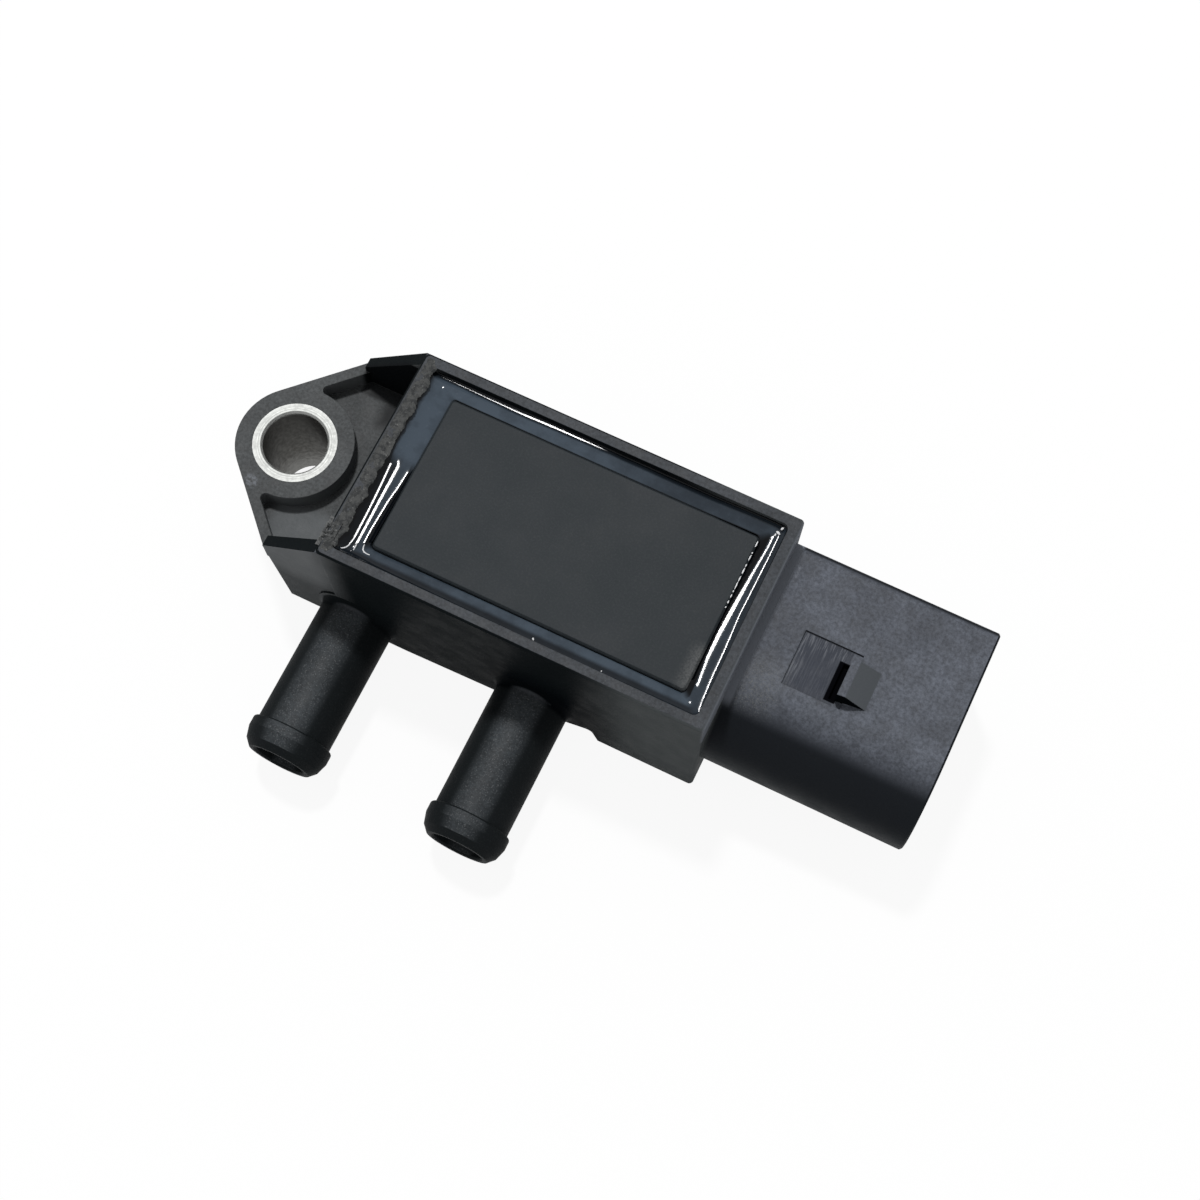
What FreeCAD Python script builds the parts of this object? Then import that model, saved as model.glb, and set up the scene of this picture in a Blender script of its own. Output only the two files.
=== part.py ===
import FreeCAD, Part
import math
import os

# Differential pressure sensor for an exhaust particulate filter.
# Millimetres. The origin is on the mounting hole's axis, in the seat plane.
# +X runs to the connector, the hose nipples point to -Y, and the cover faces +Z.

# Housing block
BLOCK_OFFSET = 9.8
BLOCK_LENGTH = 40.5
BLOCK_DEPTH = 23.15
BLOCK_HEIGHT = 21.8
BLOCK_CORNER = 0.45
BLOCK_BOTTOM_ROUND = 0.25
BLOCK_DRAFT = 0.22
RIM_WALL = 1.15
RIM_EDGE = 0.2

# Relief in the underside, open to the front and the back, with an arch at its right end
RELIEF_START = 4.7
RELIEF_LENGTH = 21.5
RELIEF_RISE = 1.9
ARCH_LENGTH = 3.5
ARCH_RISE = 3.2
ARCH_FLANK = 0.8
ARCH_ROUND = 0.6

# Cover, and its distances from the block's outer faces
COVER_LEFT_MARGIN = 4.4
COVER_RIGHT_MARGIN = 3.2
COVER_FRONT_MARGIN = 2.97
COVER_BACK_MARGIN = 3.17
COVER_THICKNESS = 1.3
COVER_DROP = 0.5
COVER_CORNER = 0.5
COVER_EDGE = 0.2
TONGUE_WIDTH = 0.9
TONGUE_DEPTH = 0.8
TONGUE_CLEARANCE = 0.2

# Adhesive channel and the dam that keeps the adhesive out of the tub
CHANNEL_DEPTH = 3.2
DAM_WALL = 1.0
BEAD_DROP = 0.6
BEAD_SAG = 0.4
BEAD_SLOPE_SHARE = 0.3
BEAD_CORNER = 0.6

# Tub, whose floor covers the terminals
TERMINAL_COVER = 0.7
TUB_CORNER = 0.6

# Mounting ear
EAR_HEIGHT = 13.8
EAR_END_RADIUS = 6.05
EAR_SHOULDER = 2.7
EAR_INSET = 0.3
EAR_BORDER = 1.1
EAR_POCKET_DEPTH = 2.2
EAR_WEB = 2.4
EAR_POCKET_ROUND = 0.5
EAR_DRAFT = 0.24
EAR_END_DRAFT = 0.65
EAR_BOTTOM_ROUND = 0.25
EAR_CORE_WALL = 1.5
EAR_CORE_REACH = 2.4
GUSSET_WALL = 1.1
GUSSET_STEP = 0.8

# Mounting bush, for an M6 screw
BUSH_BORE = 6.6
BUSH_WALL = 1.0
BUSH_CHAMFER = 0.2

# Hose nipples
PORT_INSET = 2.47
PORT_PITCH = 20.0
PORT_HEIGHT = 5.1
PORT_REACH = 16.73
PORT_SHANK = 7.9
PORT_CREST = 8.7
PORT_BARB = 3.0
PORT_LAND = 0.9
PORT_SHOULDER_ROUND = 0.25
PORT_NECK = 8.0
PORT_TIP = 6.7
PORT_TIP_CHAMFER = 0.7
PORT_BORE = 5.4
PORT_MOUTH_CHAMFER = 0.2
PORT_ROOT_ROUND = 0.7
PORT_BORE_DEPTH = 19.0
GALLERY_BORE = 3.2
GALLERY_END = 2.0
GAS_HOLE = 1.8
GAS_HOLE_INSET = 1.3
GAS_HOLE_SHIFT = 0.9

# Connector shroud
SHROUD_LENGTH = 21.2
SHROUD_FRONT = 10.5
SHROUD_BACK = 10.9
SHROUD_BOTTOM = 2.6
SHROUD_HEIGHT = 15.4
SHROUD_FRONT_FLAT = 0.6
SHROUD_CORNER = 1.0
SHROUD_END_EDGE = 0.2
SHROUD_WALL = 1.6
SOCKET_CORNER = 0.8
SOCKET_DEPTH = 17.5
SOCKET_LEAD = 0.5

# Latch lug on the shroud, and the flat panel cut in beside it
LUG_FROM_MOUTH = 8.7
LUG_LENGTH = 3.0
LUG_HEIGHT = 2.0
LUG_CREST = 0.8
LUG_FRONT = 2.3
LUG_BACK = 1.45
LUG_NOSE = 2.0
LUG_SLOT_WIDTH = 0.6
LUG_SLOT_DEPTH = 0.6
PANEL_LENGTH = 5.2
PANEL_PAST_LUG = 0.8
PANEL_WIDTH = 5.8
PANEL_DEPTH = 0.25

# Terminals
BLADE_WIDTH = 2.8
BLADE_THICKNESS = 0.8
BLADE_PITCH = 5.0
BLADE_LENGTH = 8.5
BLADE_POINT = 1.0
LEG_PITCH = 2.8
LEG_WIDTH = 1.0
LEG_INSET = 1.5
LEG_STAND = 0.8
JOG_LENGTH = 3.0

# Circuit board and what holds it
BOARD_THICKNESS = 1.0
BOARD_CLEARANCE = 0.3
BOARD_START = 2.8
BOND_GAP = 0.3
BOND_INSET = 0.5
BOARD_GAS_HOLE = 1.4
LEG_HOLE = 1.5
SOLDER_FOOT = 2.0
SOLDER_HEIGHT = 0.6

# Sensing cell
CELL_SIZE = 6.0
CELL_WALL = 0.9
CELL_HEIGHT = 2.6
CELL_GLUE = 0.15
PEDESTAL_SIZE = 2.6
PEDESTAL_HEIGHT = 1.4
PEDESTAL_HOLE = 0.9
CHIP_SIZE = 2.2
CHIP_HEIGHT = 0.4
CHIP_EDGE = 0.3
DIAPHRAGM = 0.08
GEL_DEPTH = 2.45
WIRE_DIAMETER = 0.1
WIRE_PITCH = 0.5
WIRE_COUNT = 3
WIRE_BEND = 0.35
WIRE_END_INSET = 0.3

# Signal chip and the small parts on the board
SIGNAL_LENGTH = 4.9
SIGNAL_WIDTH = 3.9
SIGNAL_HEIGHT = 1.5
SIGNAL_INSET = 0.7
SIGNAL_STAND = 0.15
LEAD_COUNT = 4
LEAD_PITCH = 1.27
LEAD_WIDTH = 0.4
LEAD_THICKNESS = 0.2
LEAD_REACH = 1.0
LEAD_FOOT = 0.5
CAPACITOR_LENGTH = 1.6
CAPACITOR_WIDTH = 0.8
CAPACITOR_HEIGHT = 0.8
RESISTOR_LENGTH = 1.6
RESISTOR_WIDTH = 0.8
RESISTOR_HEIGHT = 0.45
CHIP_PART_PITCH = 2.0

# Places worked out from the sizes above
block_x0 = BLOCK_OFFSET
block_x1 = block_x0 + BLOCK_LENGTH
block_y0 = -BLOCK_DEPTH / 2
block_y1 = BLOCK_DEPTH / 2
cover_x0 = block_x0 + COVER_LEFT_MARGIN
cover_x1 = block_x1 - COVER_RIGHT_MARGIN
cover_y0 = block_y0 + COVER_FRONT_MARGIN
cover_y1 = block_y1 - COVER_BACK_MARGIN
cover_top = BLOCK_HEIGHT - COVER_DROP
cover_bottom = cover_top - COVER_THICKNESS
channel_floor = BLOCK_HEIGHT - CHANNEL_DEPTH
bead_top = BLOCK_HEIGHT - BEAD_DROP
port_1_x = block_x0 + PORT_INSET
port_2_x = port_1_x + PORT_PITCH
port_tip_y = block_y0 - PORT_REACH
shroud_x1 = block_x1 + SHROUD_LENGTH
shroud_top = SHROUD_BOTTOM + SHROUD_HEIGHT
lug_x0 = shroud_x1 - LUG_FROM_MOUTH - LUG_LENGTH
panel_floor = shroud_top - PANEL_DEPTH
socket_x0 = shroud_x1 - SOCKET_DEPTH
blade_z = SHROUD_BOTTOM + SHROUD_HEIGHT / 2
tub_floor = blade_z + BLADE_THICKNESS / 2 + TERMINAL_COVER
tongue_step = TONGUE_WIDTH + TONGUE_CLEARANCE
tub_x0 = cover_x0 + tongue_step + DAM_WALL
tub_x1 = cover_x1 - tongue_step - DAM_WALL
tub_y0 = cover_y0 + tongue_step + DAM_WALL
tub_y1 = cover_y1 - tongue_step - DAM_WALL
board_x0 = tub_x0 + BOARD_START
board_x1 = tub_x1 - BOARD_CLEARANCE
board_y0 = tub_y0 + BOARD_CLEARANCE
board_y1 = tub_y1 - BOARD_CLEARANCE
board_bottom = tub_floor + BOND_GAP
board_top = board_bottom + BOARD_THICKNESS
leg_x = tub_x1 - LEG_INSET
cell_bottom = board_top + CELL_GLUE
pedestal_top = board_top + PEDESTAL_HEIGHT
chip_top = pedestal_top + CHIP_HEIGHT

# Length by which tools run past the faces that they cut
OVERRUN = 1.0


def vec(x, y, z):
    return FreeCAD.Vector(x, y, z)


def box(x0, x1, y0, y1, z0, z1):
    return Part.makeBox(x1 - x0, y1 - y0, z1 - z0, vec(x0, y0, z0))


def rod_z(radius, x, y, z0, z1):
    return Part.makeCylinder(radius, z1 - z0, vec(x, y, z0), vec(0, 0, 1))


def polygon(points):
    return Part.makePolygon([vec(*point) for point in points + points[:1]])


def extrude(wire, x, y, z):
    return Part.Face(wire).extrude(vec(x, y, z))


def rounded_rectangle(x0, x1, y0, y1, radius, z):
    """Closed wire at height z, with its four corners rounded."""
    diagonal = radius * (1 - math.sqrt(0.5))
    corners = [
        ((x1, y1 - radius), (x1 - diagonal, y1 - diagonal), (x1 - radius, y1)),
        ((x0 + radius, y1), (x0 + diagonal, y1 - diagonal), (x0, y1 - radius)),
        ((x0, y0 + radius), (x0 + diagonal, y0 + diagonal), (x0 + radius, y0)),
        ((x1 - radius, y0), (x1 - diagonal, y0 + diagonal), (x1, y0 + radius)),
    ]
    edges = []
    previous = corners[-1][2]
    for start, middle, end in corners:
        edges.append(Part.makeLine(vec(*previous, z), vec(*start, z)))
        edges.append(Part.Arc(vec(*start, z), vec(*middle, z), vec(*end, z)).toShape())
        previous = end
    return Part.Wire(edges)


def rounded_box(x0, x1, y0, y1, z0, z1, radius):
    return extrude(rounded_rectangle(x0, x1, y0, y1, radius, z0), 0, 0, z1 - z0)


def edges_at_height(shape, z):
    """Edges that lie in the plane at height z."""
    found = []
    for edge in shape.Edges:
        bounds = edge.BoundBox
        if abs(bounds.ZMin - z) < 1e-4 and abs(bounds.ZMax - z) < 1e-4:
            found.append(edge)
    return found


def revolved_y(profile, x, z):
    """Solid of revolution about a line along Y; profile holds (radius, y) edges."""
    face = Part.Face(Part.Wire(profile))
    solid = face.revolve(vec(0, 0, 0), vec(0, 1, 0), 360)
    solid.translate(vec(x, 0, z))
    return solid


def line(a, b):
    return Part.makeLine(vec(*a, 0), vec(*b, 0))


def arc(a, b, c):
    return Part.Arc(vec(*a, 0), vec(*b, 0), vec(*c, 0)).toShape()


def block_outline(inset, z):
    return rounded_rectangle(
        block_x0 + inset, block_x1 - inset, block_y0 + inset, block_y1 - inset, BLOCK_CORNER, z)


def block():
    """Outer block: drafted walls, rounded bottom edges and a broken rim edge."""
    sections = [
        block_outline(BLOCK_DRAFT, 0),
        block_outline(0, BLOCK_HEIGHT - RIM_EDGE),
        block_outline(RIM_EDGE, BLOCK_HEIGHT),
    ]
    body = Part.makeLoft(sections, True, True)
    return body.makeFillet(BLOCK_BOTTOM_ROUND, edges_at_height(body, 0))


def touch_angle(x, y, radius):
    """Direction from a circle's centre to where a line from the point (x, y) touches it."""
    return math.atan2(y, x) + math.acos(radius / math.hypot(x, y))


def ear_outline(inset, end_inset, z):
    """Ear in plan: two side walls, two lines tangent to the round end."""
    full_half = BLOCK_DEPTH / 2 - EAR_INSET
    angle = touch_angle(EAR_SHOULDER, full_half, EAR_END_RADIUS)
    half = full_half - inset
    radius = EAR_END_RADIUS - end_inset
    shoulder = (radius - half * math.sin(angle)) / math.cos(angle)
    touch_x = radius * math.cos(angle)
    touch_y = radius * math.sin(angle)
    inner = block_x0 + BLOCK_CORNER + OVERRUN
    edges = [
        Part.makeLine(vec(inner, -half, z), vec(inner, half, z)),
        Part.makeLine(vec(inner, half, z), vec(shoulder, half, z)),
        Part.makeLine(vec(shoulder, half, z), vec(touch_x, touch_y, z)),
        Part.Arc(vec(touch_x, touch_y, z), vec(-radius, 0, z), vec(touch_x, -touch_y, z)).toShape(),
        Part.makeLine(vec(touch_x, -touch_y, z), vec(shoulder, -half, z)),
        Part.makeLine(vec(shoulder, -half, z), vec(inner, -half, z)),
    ]
    return Part.Wire(edges)


def ear():
    """Mounting ear, with a pocket in its top and a deep core in its underside."""
    low = ear_outline(EAR_DRAFT, EAR_END_DRAFT, 0)
    high = ear_outline(0, 0, EAR_HEIGHT)
    body = Part.makeLoft([low, high], True, True)
    body = body.makeFillet(EAR_BOTTOM_ROUND, edges_at_height(body, 0))
    pocket_floor = EAR_HEIGHT - EAR_POCKET_DEPTH
    boss = rod_z(EAR_END_RADIUS, 0, 0, -OVERRUN, EAR_HEIGHT + OVERRUN)
    border = ear_outline(EAR_BORDER, EAR_BORDER, pocket_floor)
    pocket = extrude(border, 0, 0, EAR_POCKET_DEPTH + OVERRUN).cut(boss)
    pocket = pocket.makeFillet(EAR_POCKET_ROUND, edges_beside_boss(pocket))
    core_top = pocket_floor - EAR_WEB
    core_wall = ear_outline(EAR_CORE_WALL, EAR_CORE_WALL, -OVERRUN)
    limit = box(-EAR_END_RADIUS, block_x0 - EAR_CORE_REACH, block_y0, block_y1, -OVERRUN, core_top)
    core = extrude(core_wall, 0, 0, core_top + OVERRUN).common(limit).cut(boss)
    return body.cut([pocket, core])


def edges_beside_boss(pocket):
    """Upright edges of the pocket where its border runs into the boss."""
    found = []
    for edge in pocket.Edges:
        bounds = edge.BoundBox
        upright = bounds.ZMax - bounds.ZMin > EAR_POCKET_DEPTH
        on_boss = abs(math.hypot(bounds.XMin, bounds.YMin) - EAR_END_RADIUS) < 1e-3
        if upright and on_boss and bounds.XMax - bounds.XMin < 1e-3:
            found.append(edge)
    return found


def gusset(side):
    """Side web that climbs from the ear to the block's rim, flush with the block at its top."""
    low = BLOCK_DEPTH / 2 - EAR_INSET
    high = BLOCK_DEPTH / 2
    inner = low - GUSSET_WALL
    foot = EAR_HEIGHT - EAR_POCKET_DEPTH
    top = BLOCK_HEIGHT - RIM_EDGE
    x1 = block_x0 + BLOCK_CORNER
    section = [
        (EAR_SHOULDER, side * inner, foot),
        (EAR_SHOULDER, side * inner, top),
        (EAR_SHOULDER, side * high, top),
        (EAR_SHOULDER, side * low, EAR_HEIGHT),
        (EAR_SHOULDER, side * low, foot),
    ]
    elevation = [
        (EAR_SHOULDER, -high, foot),
        (EAR_SHOULDER, -high, EAR_HEIGHT + GUSSET_STEP),
        (block_x0, -high, top),
        (x1, -high, top),
        (x1, -high, foot),
    ]
    web = extrude(polygon(section), x1 - EAR_SHOULDER, 0, 0)
    return web.common(extrude(polygon(elevation), 0, BLOCK_DEPTH, 0))


def nipple(x):
    """Hose nipple: flared root, plain shank, one barb and a chamfered tip."""
    root_y = block_y0 + BLOCK_DRAFT * (1 - PORT_HEIGHT / BLOCK_HEIGHT)
    shank = PORT_SHANK / 2
    crest = PORT_CREST / 2
    shoulder_y = port_tip_y + PORT_BARB
    land_y = shoulder_y - PORT_SHOULDER_ROUND - PORT_LAND
    flare = PORT_ROOT_ROUND
    bend = flare * (1 - math.sqrt(0.5))
    corner = PORT_SHOULDER_ROUND
    corner_bend = corner * (1 - math.sqrt(0.5))
    inside_y = root_y + OVERRUN
    shoulder_start = (crest - corner, shoulder_y)
    shoulder_middle = (crest - corner_bend, shoulder_y - corner_bend)
    shoulder_end = (crest, shoulder_y - corner)
    profile = [
        line((0, inside_y), (shank + flare, inside_y)),
        line((shank + flare, inside_y), (shank + flare, root_y)),
        arc((shank + flare, root_y), (shank + bend, root_y - bend), (shank, root_y - flare)),
        line((shank, root_y - flare), (shank, shoulder_y)),
        line((shank, shoulder_y), shoulder_start),
        arc(shoulder_start, shoulder_middle, shoulder_end),
        line(shoulder_end, (crest, land_y)),
        line((crest, land_y), (PORT_NECK / 2, port_tip_y + PORT_TIP_CHAMFER)),
        line((PORT_NECK / 2, port_tip_y + PORT_TIP_CHAMFER), (PORT_TIP / 2, port_tip_y)),
        line((PORT_TIP / 2, port_tip_y), (0, port_tip_y)),
        line((0, port_tip_y), (0, inside_y)),
    ]
    return revolved_y(profile, x, PORT_HEIGHT)


def gas_bore(x):
    """Stepped bore from a nipple's mouth to its blind end in the block."""
    mouth = PORT_BORE / 2
    lip = mouth + PORT_MOUTH_CHAMFER
    gallery = GALLERY_BORE / 2
    step_y = port_tip_y + PORT_BORE_DEPTH
    profile = [
        line((0, port_tip_y - OVERRUN), (lip, port_tip_y - OVERRUN)),
        line((lip, port_tip_y - OVERRUN), (lip, port_tip_y)),
        line((lip, port_tip_y), (mouth, port_tip_y + PORT_MOUTH_CHAMFER)),
        line((mouth, port_tip_y + PORT_MOUTH_CHAMFER), (mouth, step_y)),
        line((mouth, step_y), (gallery, step_y + mouth - gallery)),
        line((gallery, step_y + mouth - gallery), (gallery, GALLERY_END)),
        line((gallery, GALLERY_END), (0, GALLERY_END + gallery / 2)),
        line((0, GALLERY_END + gallery / 2), (0, port_tip_y - OVERRUN)),
    ]
    return revolved_y(profile, x, PORT_HEIGHT)


def gas_passages():
    """Holes from the two galleries up through the tub's floor."""
    start = vec(port_1_x + GAS_HOLE_SHIFT, 0, PORT_HEIGHT)
    end = vec(tub_x0 + GAS_HOLE_INSET, 0, tub_floor)
    along = end.sub(start)
    reach = along.Length * (1 + OVERRUN / tub_floor)
    slanted = Part.makeCylinder(GAS_HOLE / 2, reach, start, along)
    upright = rod_z(GAS_HOLE / 2, port_2_x, 0, PORT_HEIGHT, tub_floor + OVERRUN)
    return [slanted, upright]


def shroud_outline(inset, corner, x):
    """Connector section: half round to the front, square to the back."""
    y0 = -SHROUD_FRONT + inset
    y1 = SHROUD_BACK - inset
    z0 = SHROUD_BOTTOM + inset
    z1 = shroud_top - inset
    big = (SHROUD_HEIGHT - SHROUD_FRONT_FLAT) / 2 - inset
    big_bend = big * (1 - math.sqrt(0.5))
    bend = corner * (1 - math.sqrt(0.5))
    corners = [
        ((y1 - corner, z0), (y1 - bend, z0 + bend), (y1, z0 + corner)),
        ((y1, z1 - corner), (y1 - bend, z1 - bend), (y1 - corner, z1)),
        ((y0 + big, z1), (y0 + big_bend, z1 - big_bend), (y0, z1 - big)),
        ((y0, z0 + big), (y0 + big_bend, z0 + big_bend), (y0 + big, z0)),
    ]
    edges = []
    previous = corners[-1][2]
    for start, middle, end in corners:
        edges.append(Part.makeLine(vec(x, *previous), vec(x, *start)))
        edges.append(Part.Arc(vec(x, *start), vec(x, *middle), vec(x, *end)).toShape())
        previous = end
    return Part.Wire(edges)


def shroud():
    """Solid shroud body, with its mouth edge broken."""
    start = block_x1 - OVERRUN
    straight = extrude(shroud_outline(0, SHROUD_CORNER, start), shroud_x1 - SHROUD_END_EDGE - start, 0, 0)
    full = shroud_outline(0, SHROUD_CORNER, shroud_x1 - SHROUD_END_EDGE)
    small = shroud_outline(SHROUD_END_EDGE, SHROUD_CORNER - SHROUD_END_EDGE, shroud_x1)
    return straight.fuse(Part.makeLoft([full, small], True, True))


def socket():
    """Space inside the shroud, with a lead-in at its mouth."""
    straight = extrude(shroud_outline(SHROUD_WALL, SOCKET_CORNER, socket_x0), SOCKET_DEPTH + OVERRUN, 0, 0)
    narrow = shroud_outline(SHROUD_WALL, SOCKET_CORNER, shroud_x1 - SOCKET_LEAD)
    wide = shroud_outline(SHROUD_WALL - SOCKET_LEAD, SOCKET_CORNER + SOCKET_LEAD, shroud_x1)
    return straight.fuse(Part.makeLoft([narrow, wide], True, True))


def latch_lug():
    """Catch on the shroud: upright face to the block, ramp to the mouth."""
    x1 = lug_x0 + LUG_LENGTH
    profile = [
        (lug_x0, -LUG_FRONT, panel_floor),
        (lug_x0, -LUG_FRONT, shroud_top + LUG_HEIGHT),
        (lug_x0 + LUG_CREST, -LUG_FRONT, shroud_top + LUG_HEIGHT),
        (x1, -LUG_FRONT, shroud_top),
        (x1, -LUG_FRONT, panel_floor),
    ]
    plan = [
        (lug_x0, -LUG_FRONT, panel_floor),
        (x1, -LUG_NOSE, panel_floor),
        (x1, LUG_NOSE, panel_floor),
        (lug_x0, LUG_BACK, panel_floor),
    ]
    side = extrude(polygon(profile), 0, LUG_FRONT + LUG_NOSE, 0)
    return side.common(extrude(polygon(plan), 0, 0, LUG_HEIGHT + PANEL_DEPTH))


def latch_panel():
    """Shallow panel cut in the shroud's top, with a slot along the lug's upright face."""
    half = PANEL_WIDTH / 2
    x1 = lug_x0 + PANEL_PAST_LUG
    panel = box(lug_x0 - PANEL_LENGTH, x1, -half, half, panel_floor, shroud_top + OVERRUN)
    slot_floor = panel_floor - LUG_SLOT_DEPTH
    slot = box(lug_x0 - LUG_SLOT_WIDTH, lug_x0, -LUG_FRONT, LUG_BACK, slot_floor, shroud_top)
    return panel.fuse(slot)


def underside_relief():
    """Sloping relief that keeps the block off its bracket, ending in a rounded arch."""
    x0 = block_x0 + RELIEF_START
    x1 = x0 + RELIEF_LENGTH
    x2 = x1 + ARCH_LENGTH
    y0 = block_y0 - OVERRUN
    profile = [
        (x0, y0, -OVERRUN),
        (x0, y0, 0),
        (x1, y0, RELIEF_RISE),
        (x2 - ARCH_FLANK, y0, ARCH_RISE),
        (x2, y0, 0),
        (x2, y0, -OVERRUN),
    ]
    tool = extrude(polygon(profile), 0, BLOCK_DEPTH + 2 * OVERRUN, 0)
    return tool.makeFillet(ARCH_ROUND, edges_at_height(tool, ARCH_RISE))


def channel():
    """Groove between the rim wall and the dam."""
    outer = rim_box(channel_floor, BLOCK_HEIGHT + OVERRUN)
    inner = dam_box(channel_floor, BLOCK_HEIGHT + OVERRUN)
    return outer.cut(inner)


def rim_box(z0, z1):
    """Space inside the rim wall."""
    wall = RIM_WALL
    return rounded_box(
        block_x0 + wall, block_x1 - wall, block_y0 + wall, block_y1 - wall, z0, z1, BEAD_CORNER)


def dam_box(z0, z1):
    """Space inside the dam's outer face."""
    step = tongue_step
    return rounded_box(
        cover_x0 + step, cover_x1 - step, cover_y0 + step, cover_y1 - step, z0, z1, TUB_CORNER)


def cover_box(inset, z0, z1):
    """Cover's outline, or a smaller one inside it."""
    return rounded_box(
        cover_x0 + inset, cover_x1 - inset, cover_y0 + inset, cover_y1 - inset, z0, z1, COVER_CORNER)


def tub():
    """Inside of the tub, and the space over the dam that takes the cover."""
    inside = rounded_box(tub_x0, tub_x1, tub_y0, tub_y1, tub_floor, BLOCK_HEIGHT + OVERRUN, TUB_CORNER)
    return inside.fuse(rim_box(cover_bottom, BLOCK_HEIGHT + OVERRUN))


def blade_y(index):
    return (index - 1) * BLADE_PITCH


def leg_y(index):
    return (index - 1) * LEG_PITCH


def terminal(index):
    """Stamped terminal: pointed blade, jog to the board's spacing, and an upright leg."""
    y_blade = blade_y(index)
    y_leg = leg_y(index)
    wide = BLADE_WIDTH / 2
    slim = LEG_WIDTH / 2
    point = wide - BLADE_POINT / 2
    x_tip = socket_x0 + BLADE_LENGTH
    x_jog = socket_x0 - OVERRUN
    x_heel = leg_x + BLADE_THICKNESS / 2
    x_back = leg_x - BLADE_THICKNESS / 2
    z0 = blade_z - BLADE_THICKNESS / 2
    z1 = blade_z + BLADE_THICKNESS / 2
    plan = [
        (x_tip, y_blade - point, z0),
        (x_tip, y_blade + point, z0),
        (x_tip - BLADE_POINT, y_blade + wide, z0),
        (x_jog, y_blade + wide, z0),
        (x_jog - JOG_LENGTH, y_leg + slim, z0),
        (x_heel, y_leg + slim, z0),
        (x_heel, y_leg - slim, z0),
        (x_jog - JOG_LENGTH, y_leg - slim, z0),
        (x_jog, y_blade - wide, z0),
        (x_tip - BLADE_POINT, y_blade - wide, z0),
    ]
    strip = extrude(polygon(plan), 0, 0, BLADE_THICKNESS)
    bend = Part.makeCylinder(BLADE_THICKNESS, LEG_WIDTH, vec(x_heel, y_leg - slim, z1), vec(0, 1, 0))
    bend = bend.common(box(x_back, x_heel, y_leg - slim, y_leg + slim, z0, z1))
    leg = box(x_back, x_heel, y_leg - slim, y_leg + slim, z1, board_top + LEG_STAND)
    return strip.fuse([bend, leg]).removeSplitter()


def terminals():
    return [terminal(index) for index in range(3)]


def housing(inserts):
    """The one moulding, shaped round its metal inserts."""
    body = block().fuse([
        ear(),
        gusset(-1),
        gusset(1),
        shroud(),
        nipple(port_1_x),
        nipple(port_2_x),
    ])
    body = body.cut([
        underside_relief(),
        channel(),
        tub(),
        socket(),
        latch_panel(),
        gas_bore(port_1_x),
        gas_bore(port_2_x),
    ] + gas_passages())
    body = body.fuse(latch_lug())
    body = body.cut([rod_z(BUSH_BORE / 2 + BUSH_WALL, 0, 0, -OVERRUN, EAR_HEIGHT + OVERRUN)] + inserts)
    return body.removeSplitter()


def mounting_bush():
    """Metal sleeve, flush with both faces of the ear."""
    outer = rod_z(BUSH_BORE / 2 + BUSH_WALL, 0, 0, 0, EAR_HEIGHT)
    sleeve = outer.cut(rod_z(BUSH_BORE / 2, 0, 0, -OVERRUN, EAR_HEIGHT + OVERRUN))
    top_edges = edges_at_height(sleeve, EAR_HEIGHT)
    bore_edges = [edge for edge in top_edges if edge.BoundBox.XMax < BUSH_BORE / 2 + BUSH_WALL / 2]
    return sleeve.makeChamfer(BUSH_CHAMFER, bore_edges)


def cover():
    """Plate with a tongue all round that dips into the adhesive."""
    plate = cover_box(0, cover_bottom, cover_top)
    plate = plate.makeChamfer(COVER_EDGE, edges_at_height(plate, cover_top))
    return plate.fuse(tongue()).removeSplitter()


def tongue():
    outer = cover_box(0, cover_bottom - TONGUE_DEPTH, cover_bottom)
    return outer.cut(cover_box(TONGUE_WIDTH, cover_bottom - TONGUE_DEPTH, cover_bottom))


def bead_loop(share, z):
    """Loop between the rim wall, at share 0, and the cover's edge, at share 1."""
    x0 = block_x0 + RIM_WALL
    x1 = block_x1 - RIM_WALL
    y0 = block_y0 + RIM_WALL
    y1 = block_y1 - RIM_WALL
    x0 += share * (cover_x0 - x0)
    x1 += share * (cover_x1 - x1)
    y0 += share * (cover_y0 - y0)
    y1 += share * (cover_y1 - y1)
    return polygon([(x0, y0, z), (x1, y0, z), (x1, y1, z), (x0, y1, z)])


def adhesive_bead():
    """Cured adhesive: fills the channel round the tongue and sags between its edges."""
    low = bead_top - BEAD_SAG
    under = channel_fill(channel_floor, cover_bottom)
    over = rim_box(cover_bottom, bead_top).cut(cover_box(0, cover_bottom, bead_top))
    outer = Part.makeLoft([bead_loop(0, bead_top), bead_loop(BEAD_SLOPE_SHARE, low)], True, True)
    inner = Part.makeLoft([bead_loop(1, bead_top), bead_loop(1 - BEAD_SLOPE_SHARE, low)], True, True)
    return under.fuse(over).cut(outer.cut(inner)).cut(tongue()).removeSplitter()


def channel_fill(z0, z1):
    return rim_box(z0, z1).cut(dam_box(z0, z1))


def board_holes(radius, z0, z1):
    """Round holes for the three legs."""
    return [rod_z(radius, leg_x, leg_y(index), z0, z1) for index in range(3)]


def circuit_board():
    board = box(board_x0, board_x1, board_y0, board_y1, board_bottom, board_top)
    holes = board_holes(LEG_HOLE / 2, board_bottom - OVERRUN, board_top + OVERRUN)
    holes.append(rod_z(BOARD_GAS_HOLE / 2, port_2_x, 0, board_bottom - OVERRUN, board_top + OVERRUN))
    return board.cut(holes)


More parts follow.
